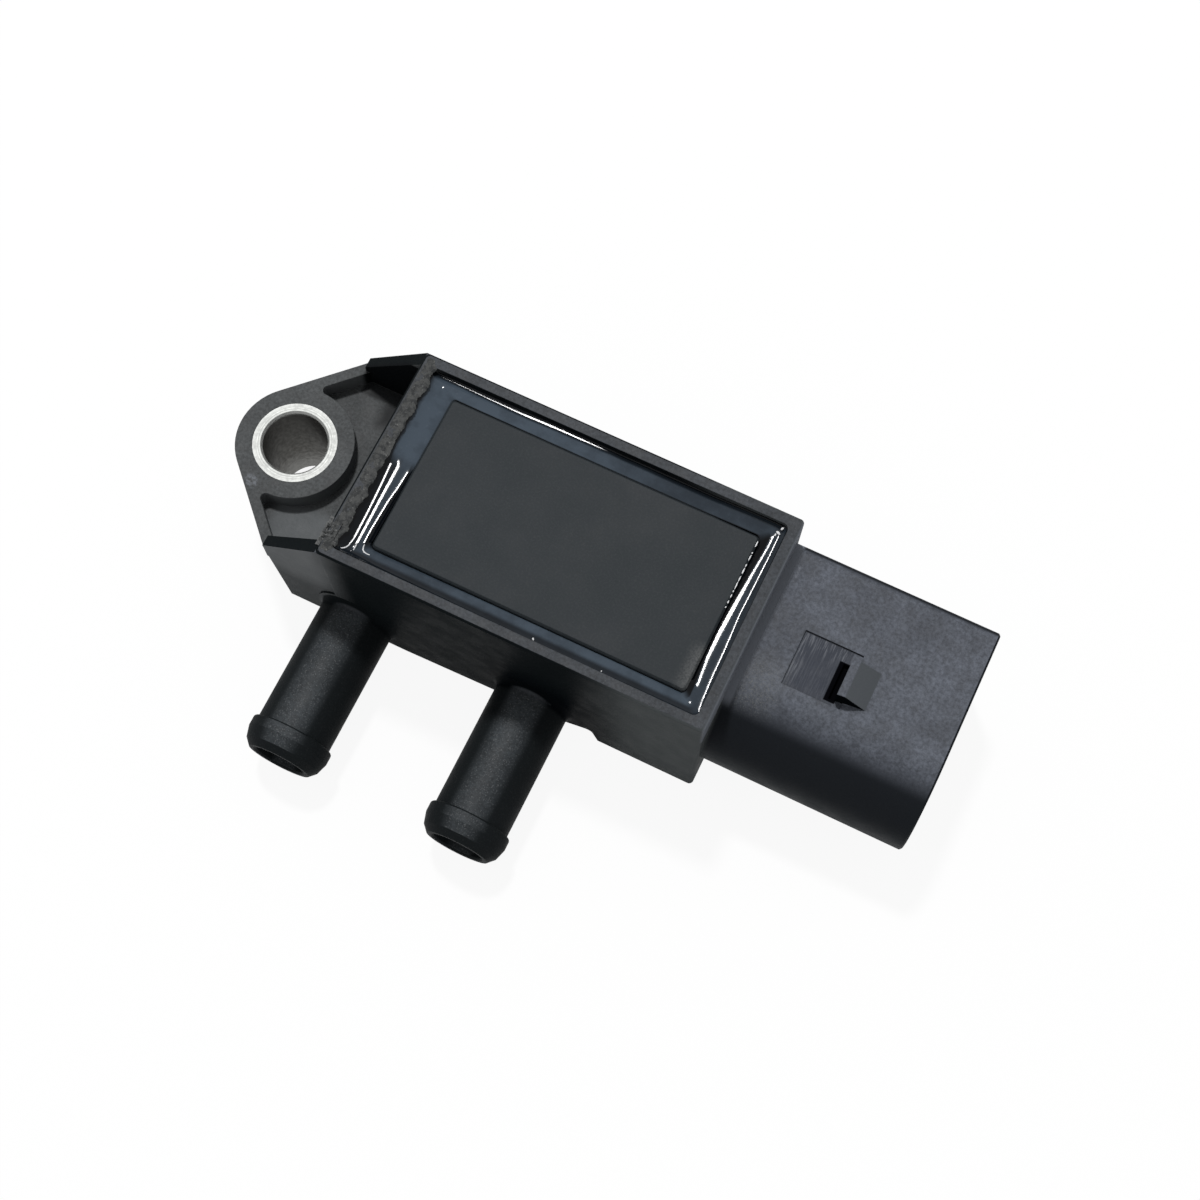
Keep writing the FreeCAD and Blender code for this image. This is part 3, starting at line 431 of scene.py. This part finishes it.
def make_piece(name, points, faces, material, smooth_angle=40.0):
    """Mesh object from points in millimetres."""
    mesh = bpy.data.meshes.new(name)
    mesh.from_pydata([[value * MM for value in point] for point in points], [], faces)
    shape = bmesh.new()
    shape.from_mesh(mesh)
    bmesh.ops.recalc_face_normals(shape, faces=shape.faces)
    shape.to_mesh(mesh)
    shape.free()
    mesh.polygons.foreach_set("use_smooth", [True] * len(mesh.polygons))
    mesh.set_sharp_from_angle(angle=math.radians(smooth_angle))
    mesh.materials.append(material)
    piece = bpy.data.objects.new(name, mesh)
    bpy.context.scene.collection.objects.link(piece)
    return piece


def smooth(value):
    value = min(1.0, max(0.0, value))
    return value * value * (3 - 2 * value)


def lerp(a, b, share):
    return a + (b - a) * share


# Adhesive in the channel round the cover

SIDE_COLUMNS = {"front": 90, "right": 150, "back": 150, "left": 150}
CORNER_COLUMNS = 12
SURFACE_ROWS = 130
BEAD_LEVEL = 21.0
RIM_CORNER = 0.6
COVER_CORNER = 0.5
LEAST_RADIUS = 0.05


def ring(low, high, inset, radius):
    """Points of a rounded rectangle, each with its side and its share along that side."""
    x0, y0 = low[0] + inset, low[1] + inset
    x1, y1 = high[0] - inset, high[1] - inset
    radius = max(radius - inset, LEAST_RADIUS)
    sides = [
        ("front", (x0 + radius, y0), (x1 - radius, y0), (x1 - radius, y0 + radius), -90),
        ("right", (x1, y0 + radius), (x1, y1 - radius), (x1 - radius, y1 - radius), 0),
        ("back", (x1 - radius, y1), (x0 + radius, y1), (x0 + radius, y1 - radius), 90),
        ("left", (x0, y1 - radius), (x0, y0 + radius), (x0 + radius, y0 + radius), 180),
    ]
    points = []
    for side, start, end, centre, angle in sides:
        count = SIDE_COLUMNS[side]
        for index in range(count + 1):
            share = index / count
            points.append((lerp(start[0], end[0], share), lerp(start[1], end[1], share), side, share))
        for index in range(1, CORNER_COLUMNS):
            turn = math.radians(angle + 90 * index / CORNER_COLUMNS)
            x = centre[0] + radius * math.cos(turn)
            y = centre[1] + radius * math.sin(turn)
            points.append((x, y, side + " corner", index / CORNER_COLUMNS))
    return points


# Slopes of the adhesive across the channel, as (share across, slope) from the rim to the cover.
# Each list of lines gives the places of its ridges and valleys, as (share along, share across).
LEFT_LINES = [
    [(0.48, 0.27), (0.60, 0.33), (0.70, 0.37), (0.82, 0.405), (0.96, 0.43), (1.0, 0.40)],
    [(0.48, 0.525), (0.74, 0.547), (1.0, 0.585)],
    [(0.50, 0.86), (0.62, 0.828), (0.72, 0.775), (0.92, 0.745), (1.0, 0.755)],
]
RIGHT_LINES = [
    [(0.0, 0.05), (0.055, 0.12), (0.19, 0.20), (0.32, 0.225), (0.53, 0.32), (0.85, 0.26)],
    [(0.0, 0.66), (0.08, 0.68), (0.22, 0.79), (0.38, 0.785), (0.53, 0.73), (0.80, 0.62), (0.94, 0.527)],
]
BACK_LINE = [(0.50, 0.09), (0.65, 0.115), (0.75, 0.155), (0.85, 0.12), (0.93, 0.08), (0.97, 0.07)]
HIDDEN_SHEEN = 0.3

# Slopes at which each side mirrors the lamp, and how far its highlights reach to either side of them
LEFT_GLINT, LEFT_SPREAD = -0.04, 0.02
RIGHT_GLINT, RIGHT_SPREAD = -0.081, 0.024
BACK_GLINT, BACK_SPREAD = -0.044, 0.02
THIN_LINE = 0.015
SIDE_LINE = 0.018
MIDDLE_LINE = 0.03


def along(line, share):
    """Value of a polyline at a share of its length."""
    for (s0, v0), (s1, v1) in zip(line, line[1:]):
        if share <= s1:
            return lerp(v0, v1, min(1.0, max(0.0, (share - s0) / (s1 - s0))))
    return line[-1][1]


def blend(a, b, share):
    """Points between two polylines with as many points."""
    return [tuple(lerp(p, q, share) for p, q in zip(first, second)) for first, second in zip(a, b)]


def front_slopes(share):
    return [(0.0, -1.2), (0.15, -0.45), (0.42, -0.24), (0.66, -0.18), (0.88, -0.15), (1.0, -0.15)]


def right_slopes(share):
    thin, thick = [along(line, share) for line in RIGHT_LINES]
    low, high = RIGHT_GLINT - RIGHT_SPREAD, RIGHT_GLINT + RIGHT_SPREAD
    half = lerp(0.04, 0.085, smooth(1.0 - abs(share - 0.5) / 0.42))
    ending = smooth((0.075 - share) / 0.04)
    return [(0.0, -1.0), (thin * 0.5, -0.35), (thin - THIN_LINE, low), (thin + THIN_LINE, high),
            (lerp(thin, thick - half, 0.5), 0.05), (thick - half, lerp(high, 0.03, ending)),
            (thick + half, lerp(low, 0.03, ending)), (1.0, lerp(-0.36, 0.03, ending))]


def back_slopes(share):
    valley = along(BACK_LINE, share)
    low, high = BACK_GLINT - BACK_SPREAD, BACK_GLINT + BACK_SPREAD
    glossy = [(0.0, -1.6), (valley * 0.5, -0.35), (valley - 0.02, low), (valley + 0.06, high),
              (valley + 0.16, 0.12), (0.97, 0.13), (1.0, 0.13)]
    plain = [(0.0, -1.6), (0.05, -0.9), (0.07, 0.10), (0.16, 0.12), (0.50, 0.12), (0.97, 0.13),
             (1.0, 0.13)]
    return blend(plain, glossy, smooth((share - 0.46) / 0.06))


def left_slopes(share):
    first, second, third = [along(line, share) for line in LEFT_LINES]
    low, high = LEFT_GLINT - LEFT_SPREAD, LEFT_GLINT + LEFT_SPREAD
    ridged = [(0.0, -1.6), (first * 0.45, -0.42), (first - SIDE_LINE, low), (first + SIDE_LINE, high),
              (lerp(first, second, 0.5), 0.12), (second - MIDDLE_LINE, high), (second + MIDDLE_LINE, low),
              (lerp(second, third, 0.5), -0.17), (third - SIDE_LINE, low), (third + SIDE_LINE, high),
              (1.0, 1.1)]
    plain = [(0.0, -1.6), (0.12, -0.45), (0.26, -0.24), (0.30, -0.22), (0.40, -0.17), (0.50, -0.15),
             (0.56, -0.15), (0.68, -0.14), (0.80, -0.14), (0.90, -0.14), (1.0, -0.14)]
    return blend(plain, ridged, smooth((share - 0.44) / 0.07))


SLOPES = {"front": front_slopes, "right": right_slopes, "back": back_slopes, "left": left_slopes}
NEXT_SIDE = {"front": "right", "right": "back", "back": "left", "left": "front"}


def slopes_across(side, share):
    """Slopes at each row of the surface, blended round a corner from one side to the next."""
    if side in SLOPES:
        knots = SLOPES[side](share)
        return [along(knots, row / SURFACE_ROWS) for row in range(SURFACE_ROWS + 1)]
    before = side.split()[0]
    first = slopes_across(before, 1.0)
    second = slopes_across(NEXT_SIDE[before], 0.0)
    return [lerp(a, b, smooth(share)) for a, b in zip(first, second)]


def section(side, share, width):
    """Heights of the adhesive across the channel at one place, zero in its middle."""
    slopes = slopes_across(side, share)
    heights = [0.0]
    for before, after in zip(slopes, slopes[1:]):
        heights.append(heights[-1] + (before + after) / 2 * width / SURFACE_ROWS)
    middle = heights[SURFACE_ROWS // 2]
    return [height - middle for height in heights]


def lean(x, y):
    """Slow rise of the adhesive toward the corners."""
    right = smooth((x - 40.0) / 7.0) * (0.0145 * y + 0.0013 * y * y)
    rise = 0.0013 * max(0.0, 19.0 - x) ** 2 - 0.004 * max(0.0, 14.0 - x) ** 2
    back = smooth((y - 6.0) / 3.0) * rise
    front = smooth((16.0 - x) / 2.0) * 0.0015 * max(0.0, -4.0 - y) ** 2
    return right + back + front


def painted_sheen_across(side, share, across):
    """How much painted blue-grey sheen the adhesive shows, from 0 for nearly black to 1, fading to painted
    shade at the rim and the cover.
    """
    # Painted shade next to the rim and next to the cover
    edge = smooth(across / 0.08) * smooth((1.0 - across) / 0.07)
    if side == "front":
        return edge * lerp(0.18, 1.0, smooth((across - 0.30) / 0.30)) * lerp(0.7, 1.0, share)
    if side == "back":
        valley = along(BACK_LINE, share)
        bright = lerp(0.50, 0.95, smooth((share - 0.2) / 0.5))
        return edge * lerp(0.12, bright, smooth((across - valley - 0.10) / 0.15))
    if side == "left":
        first, second, third = [along(line, share) for line in LEFT_LINES]
        ridged = lerp(0.04, 0.16, smooth((across - first) / 0.05))
        ridged = lerp(ridged, 0.60, smooth((across - second - 0.02) / 0.05))
        ridged = lerp(ridged, 0.03, smooth((across - third + 0.02) / 0.05))
        return edge * lerp(smooth((across - 0.08) / 0.2), ridged, smooth((share - 0.42) / 0.10))
    if side == "right":
        thin, thick = [along(line, share) for line in RIGHT_LINES]
        painted_sheen = lerp(0.30, 0.50, smooth((across - thin) / 0.08))
        return edge * lerp(painted_sheen, 0.0, smooth((across - thick - 0.04) / 0.06))
    before = side.split()[0]
    after = NEXT_SIDE[before]
    return lerp(painted_sheen_across(before, 1.0, across), painted_sheen_across(after, 0.0, across), smooth(share))


def adhesive():
    """The cured bead from the rim to the cover, and under the cover to its tongue."""
    rim = ring(bead_low, bead_high, 0.0, RIM_CORNER)
    edge = ring(cover_low, cover_high, 0.0, COVER_CORNER)
    inside = ring(cover_low, cover_high, TONGUE_WIDTH, COVER_CORNER)
    dam = ring(cover_low, cover_high, TONGUE_WIDTH + TONGUE_CLEARANCE, COVER_CORNER)
    plate_bottom = tongue_bottom + TONGUE_DEPTH
    points = []
    painted_sheens = []
    for outer, inner, under, back in zip(rim, edge, inside, dam):
        side, share = outer[2:]
        width = math.hypot(inner[0] - outer[0], inner[1] - outer[1])
        heights = section(side, share, width)
        column = [(outer[0], outer[1], channel_floor)]
        painted_sheen = [HIDDEN_SHEEN]
        for row in range(SURFACE_ROWS + 1):
            across = row / SURFACE_ROWS
            x = lerp(outer[0], inner[0], across)
            y = lerp(outer[1], inner[1], across)
            column.append((x, y, BEAD_LEVEL + heights[row] + lean(x, y)))
            painted_sheen.append(painted_sheen_across(side, share, across))
        column.append((inner[0], inner[1], tongue_bottom))
        column.append((under[0], under[1], tongue_bottom))
        column.append((under[0], under[1], plate_bottom))
        column.append((back[0], back[1], plate_bottom))
        column.append((back[0], back[1], channel_floor))
        painted_sheen.extend([HIDDEN_SHEEN] * (len(column) - len(painted_sheen)))
        points.append(column)
        painted_sheens.append(painted_sheen)
    rows = len(points[0])
    faces = []
    for index in range(len(points)):
        following = (index + 1) % len(points)
        for row in range(rows):
            above = (row + 1) % rows
            faces.append((index * rows + row, index * rows + above,
                          following * rows + above, following * rows + row))
    flat_points = [point for column in points for point in column]
    piece = make_piece("adhesive", flat_points, faces, adhesive_gloss(), 50.0)
    attribute = piece.data.attributes.new("painted_sheen", "FLOAT", "POINT")
    attribute.data.foreach_set("value", [value for painted_sheen in painted_sheens for value in painted_sheen])
    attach(piece, "root")
    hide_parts("adhesive_bead")
    return BVHTree.FromPolygons(flat_points, faces)


adhesive_surface = adhesive()


def adhesive_top(x, y):
    """Height of the adhesive's surface over one place."""
    hit = adhesive_surface.ray_cast(Vector((x, y, rim_top + 1.0)), Vector((0.0, 0.0, -1.0)))[0]
    return hit.z if hit else BEAD_LEVEL


# Frayed flash that the mould left on the rim's left side

MOUND_SINK = 0.03
MOUND_DEPTH = 0.12
RIM_WIDTH = 1.15


def mound(name, x_range, y_range, base_z, counts, height, material, reach=None):
    """Closed low relief over a flat rectangle, or as far as reach(y, v) goes."""
    nx, ny = counts
    points = []
    for j in range(ny + 1):
        for i in range(nx + 1):
            u, v = i / nx, j / ny
            y = lerp(*y_range, v)
            x = lerp(x_range[0], reach(y, v) if reach else x_range[1], u)
            points.append((x, y, base_z - MOUND_SINK + height(x, y, u, v)))
    top_count = len(points)
    points.extend([(x, y, base_z - MOUND_DEPTH) for x, y, z in points])
    faces = []
    for j in range(ny):
        for i in range(nx):
            a = j * (nx + 1) + i
            square = (a, a + 1, a + nx + 2, a + nx + 1)
            faces.append(square)
            faces.append(tuple(index + top_count for index in reversed(square)))
    border = [i for i in range(nx)]
    border += [j * (nx + 1) + nx for j in range(ny)]
    border += [ny * (nx + 1) + i for i in range(nx, 0, -1)]
    border += [j * (nx + 1) for j in range(ny, 0, -1)]
    for a, b in zip(border, border[1:] + border[:1]):
        faces.append((b, a, a + top_count, b + top_count))
    piece = make_piece(name, points, faces, material, 80.0)
    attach(piece, "root")
    return piece


def flash_reach(y, v):
    """The flash hangs over the adhesive with a ragged edge, and ends short of the corners."""
    ragged = noise.fractal(Vector((y * 0.8, 7.0, 0.0)), 0.8, 2.2, 5)
    overhang = max(0.15, 0.55 + 0.35 * ragged)
    return bead_low.x - 0.02 + smooth(min(v, 1 - v) / 0.06) * overhang


def flash_height(x, y, u, v):
    """Low lumps, sunk at the flash's edges."""
    edge = smooth(min(u, 1 - u) / 0.16) * smooth(min(v, 1 - v) / 0.02)
    lumps = noise.fractal(Vector((x * 1.5, y * 1.1, 0.5)), 0.6, 2.2, 4)
    return edge * (0.07 + 0.09 * max(-0.6, lumps))


def crust_height(x, y, u, v):
    """Torn folds of plastic on the rim's front left corner."""
    reach = smooth(min(u + 0.15, 1 - u) / 0.35) * smooth(min(v, 1 - v) / 0.4)
    folds = noise.fractal(Vector((x * 2.0, y * 2.4, 4.0)), 0.7, 2.1, 4)
    return reach * (0.20 + 0.42 * folds) - 0.08


frayed = rough_plastic()
crust = grained("crust", (0.040, 0.042, 0.043), (0.150, 0.153, 0.153), 3.0, 0.6, 0.08, 0.2)
rim_left = bead_low.x - RIM_WIDTH
crust_x = (rim_left - 0.30, bead_low.x + 0.15)
crust_y = (-10.8, -7.6)
flash_x = (rim_left + 0.24, bead_low.x - 0.02)
flash_y = (bead_low.y - 0.85, bead_high.y + 0.85)
mound("rim_crust", crust_x, crust_y, rim_top, (50, 80), crust_height, crust)
mound("rim_flash", flash_x, flash_y, rim_top, (24, 400), flash_height, frayed, flash_reach)


# Pale dots on the adhesive, painted glints that stand for small highlights, as (x, y, height of the
# surface, radius)

GLINT_DOTS = [
    (32.2, -10.15, 21.32, 0.08),
    (39.3, -10.2, 21.32, 0.05),
    (12.8, -10.0, 21.14, 0.15),
    (48.62, 9.95, 21.50, 0.11),
    (48.42, 9.45, 21.36, 0.14),
    (48.25, 9.15, 21.32, 0.09),
]

GLINT_DOT_STRETCH = 1.5

# Thin pale threads over the cover's right edge, painted glints that stand for broken highlights along it,
# as (middle y, half length)
GLINT_THREADS = [(7.55, 0.30), (6.55, 0.10), (6.05, 0.33), (5.15, 0.14), (4.55, 0.40), (3.70, 0.28),
           (2.95, 0.36), (2.30, 0.12), (1.75, 0.22), (1.10, 0.16), (0.55, 0.10)]
THREAD_RADIUS = 0.055
THREAD_INSET = 0.07

# Thin raised strands at the ends of the adhesive's ridges, pale painted highlights that carry the streaks
# on, as places on its surface
GLINT_STRANDS = [
    [(12.30, -9.05), (12.27, -9.30), (12.18, -9.60), (12.04, -9.84), (11.90, -9.97), (11.78, -10.01)],
    [(12.88, -8.90), (12.87, -9.15), (12.90, -9.62)],
    [(13.53, -8.60), (13.56, -8.90), (13.66, -9.17), (13.88, -9.33), (14.18, -9.38), (14.50, -9.35)],
    [(49.12, -9.20), (49.14, -9.45), (49.22, -9.62), (49.34, -9.66)],
]
STRAND_RADIUS = 0.07
STRAND_END = 0.5
STRAND_SIDES = 8


def strand(shape, places):
    """Tube along a line on the adhesive's surface, thin at both ends."""
    centres = [Vector((x, y, adhesive_top(x, y))) for x, y in places]
    last = len(centres) - 1
    turns = [2 * math.pi * side / STRAND_SIDES for side in range(STRAND_SIDES)]
    rings = []
    for index, centre in enumerate(centres):
        forward = (centres[min(last, index + 1)] - centres[max(0, index - 1)]).normalized()
        sideways = forward.cross(Vector((0.0, 0.0, 1.0))).normalized()
        upright = sideways.cross(forward)
        radius = STRAND_RADIUS * (STRAND_END if index in (0, last) else 1.0)
        spokes = [sideways * math.cos(turn) + upright * math.sin(turn) for turn in turns]
        rings.append([shape.verts.new((centre + spoke * radius) * MM) for spoke in spokes])
    for low, high in zip(rings, rings[1:]):
        for side in range(STRAND_SIDES):
            following = (side + 1) % STRAND_SIDES
            shape.faces.new((low[side], low[following], high[following], high[side]))
    shape.faces.new(rings[0])
    shape.faces.new(rings[-1])


def crumbs():
    """Pale dots, threads and strands in one mesh, all painted glints."""
    mesh = bpy.data.meshes.new("adhesive_glints")
    shape = bmesh.new()
    glint_blobs = [(x, y, z, radius, x * 7.0, GLINT_DOT_STRETCH) for x, y, z, radius in GLINT_DOTS]
    thread_x, thread_z = cover_high.x - THREAD_INSET, cover_top - 0.01
    glint_blobs += [(thread_x, y, thread_z, THREAD_RADIUS, math.pi / 2, half / THREAD_RADIUS)
               for y, half in GLINT_THREADS]
    for x, y, z, radius, turn, stretch in glint_blobs:
        place = Matrix.Translation(Vector((x, y, z)) * MM)
        turned = place @ Matrix.Rotation(turn, 4, "Z") @ Matrix.Diagonal((stretch, 1.0, 0.6, 1.0))
        grown = bmesh.ops.create_icosphere(shape, subdivisions=3, radius=radius * MM, matrix=turned)
        for vertex in grown["verts"]:
            offset = vertex.co - Vector((x, y, z)) * MM
            vertex.co += offset * 0.5 * noise.noise(vertex.co / MM * 9.0)
    for places in GLINT_STRANDS:
        strand(shape, places)
    bmesh.ops.recalc_face_normals(shape, faces=shape.faces)
    shape.to_mesh(mesh)
    shape.free()
    # Pale material of the painted glints
    mesh.materials.append(grained("painted_glint", (0.70, 0.71, 0.72), (0.90, 0.91, 0.92), 6.0, 0.5, 0.01))
    piece = bpy.data.objects.new("adhesive_glints", mesh)
    bpy.context.scene.collection.objects.link(piece)
    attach(piece, "root")


crumbs()


# Camera, from the photograph's perspective

CAMERA_PLACE = Vector((61.35, -55.9, 189.9)) * MM
CAMERA_RIGHT = Vector((0.8996, 0.4368, 0.0)).normalized()
CAMERA_LOOK = Vector((-0.1415, 0.2914, -0.9461)).normalized()
CAMERA_LENS = 57.0
CAMERA_SENSOR = 36.0


def camera():
    data = bpy.data.cameras.new("camera")
    data.lens = CAMERA_LENS
    data.sensor_width = CAMERA_SENSOR
    data.clip_start = 0.005
    data.clip_end = 20.0
    up = CAMERA_RIGHT.cross(CAMERA_LOOK)
    turn = Matrix((CAMERA_RIGHT, up, -CAMERA_LOOK)).transposed()
    item = bpy.data.objects.new("camera", data)
    item.rotation_mode = "QUATERNION"
    item.rotation_quaternion = turn.to_quaternion()
    item.location = CAMERA_PLACE
    bpy.context.scene.collection.objects.link(item)
    bpy.context.scene.camera = item


camera()


# Light: one small soft lamp from the back left, and an even room

LAMP_DIRECTION = Vector((-0.21, 0.285, 0.935)).normalized()
LAMP_TARGET = Vector((30.0, -3.0, 20.0)) * MM
LAMP_DISTANCE = 1.0
LAMP_SIZE = 0.10
LAMP_POWER = 6.0
ROOM_LEVEL = 0.42
FLOOR_COLOUR = rgb(0.85, 0.85, 0.85)
FLOOR_GLOW = 0.90
FLOOR_STRENGTH = 1.02
FLOOR_HALF = 2.0
FLOOR_Z = -0.0002


def lamp():
    data = bpy.data.lights.new("key", "AREA")
    data.shape = "DISK"
    data.size = LAMP_SIZE
    data.energy = LAMP_POWER
    item = bpy.data.objects.new("key", data)
    item.location = LAMP_TARGET + LAMP_DIRECTION * LAMP_DISTANCE
    item.rotation_mode = "QUATERNION"
    item.rotation_quaternion = LAMP_DIRECTION.to_track_quat("Z", "Y")
    bpy.context.scene.collection.objects.link(item)


lamp()


def background_share(nodes, links):
    """1 for the rays that show the background: camera, glossy and transmission."""
    path = nodes.new("ShaderNodeLightPath")
    first = nodes.new("ShaderNodeMath")
    first.operation = "MAXIMUM"
    links.new(path.outputs["Is Camera Ray"], first.inputs[0])
    links.new(path.outputs["Is Glossy Ray"], first.inputs[1])
    second = nodes.new("ShaderNodeMath")
    second.operation = "MAXIMUM"
    links.new(first.outputs[0], second.inputs[0])
    links.new(path.outputs["Is Transmission Ray"], second.inputs[1])
    return second.outputs[0]


def room():
    """World that is white where it is seen and weaker where it lights the object."""
    world = bpy.data.worlds.new("room")
    bpy.context.scene.world = world
    world.use_nodes = True
    nodes, links = world.node_tree.nodes, world.node_tree.links
    background = nodes["Background"]
    background.inputs["Color"].default_value = (1.0, 1.0, 1.0, 1.0)
    strength = nodes.new("ShaderNodeMapRange")
    strength.inputs["To Min"].default_value = ROOM_LEVEL
    strength.inputs["To Max"].default_value = 1.0
    links.new(background_share(nodes, links), strength.inputs["Value"])
    links.new(strength.outputs[0], background.inputs["Strength"])


room()


def floor():
    """Flat white floor that keeps the object's shadow."""
    mesh = bpy.data.meshes.new("floor")
    corners = [(FLOOR_HALF * a, FLOOR_HALF * b, FLOOR_Z) for a, b in ((-1, -1), (1, -1), (1, 1), (-1, 1))]
    mesh.from_pydata(corners, [], [(0, 1, 2, 3)])
    material = bpy.data.materials.new("floor")
    material.use_nodes = True
    nodes, links = material.node_tree.nodes, material.node_tree.links
    nodes.clear()
    output = nodes.new("ShaderNodeOutputMaterial")
    diffuse = nodes.new("ShaderNodeBsdfDiffuse")
    diffuse.inputs["Color"].default_value = FLOOR_COLOUR
    glow = nodes.new("ShaderNodeEmission")
    glow.inputs["Strength"].default_value = FLOOR_STRENGTH
    share = nodes.new("ShaderNodeMath")
    share.operation = "MULTIPLY"
    share.inputs[1].default_value = FLOOR_GLOW
    links.new(background_share(nodes, links), share.inputs[0])
    mixer = nodes.new("ShaderNodeMixShader")
    links.new(share.outputs[0], mixer.inputs[0])
    links.new(diffuse.outputs[0], mixer.inputs[1])
    links.new(glow.outputs[0], mixer.inputs[2])
    links.new(mixer.outputs[0], output.inputs[0])
    mesh.materials.append(material)
    item = bpy.data.objects.new("floor", mesh)
    bpy.context.scene.collection.objects.link(item)


floor()

bpy.context.scene.view_settings.view_transform = "Standard"
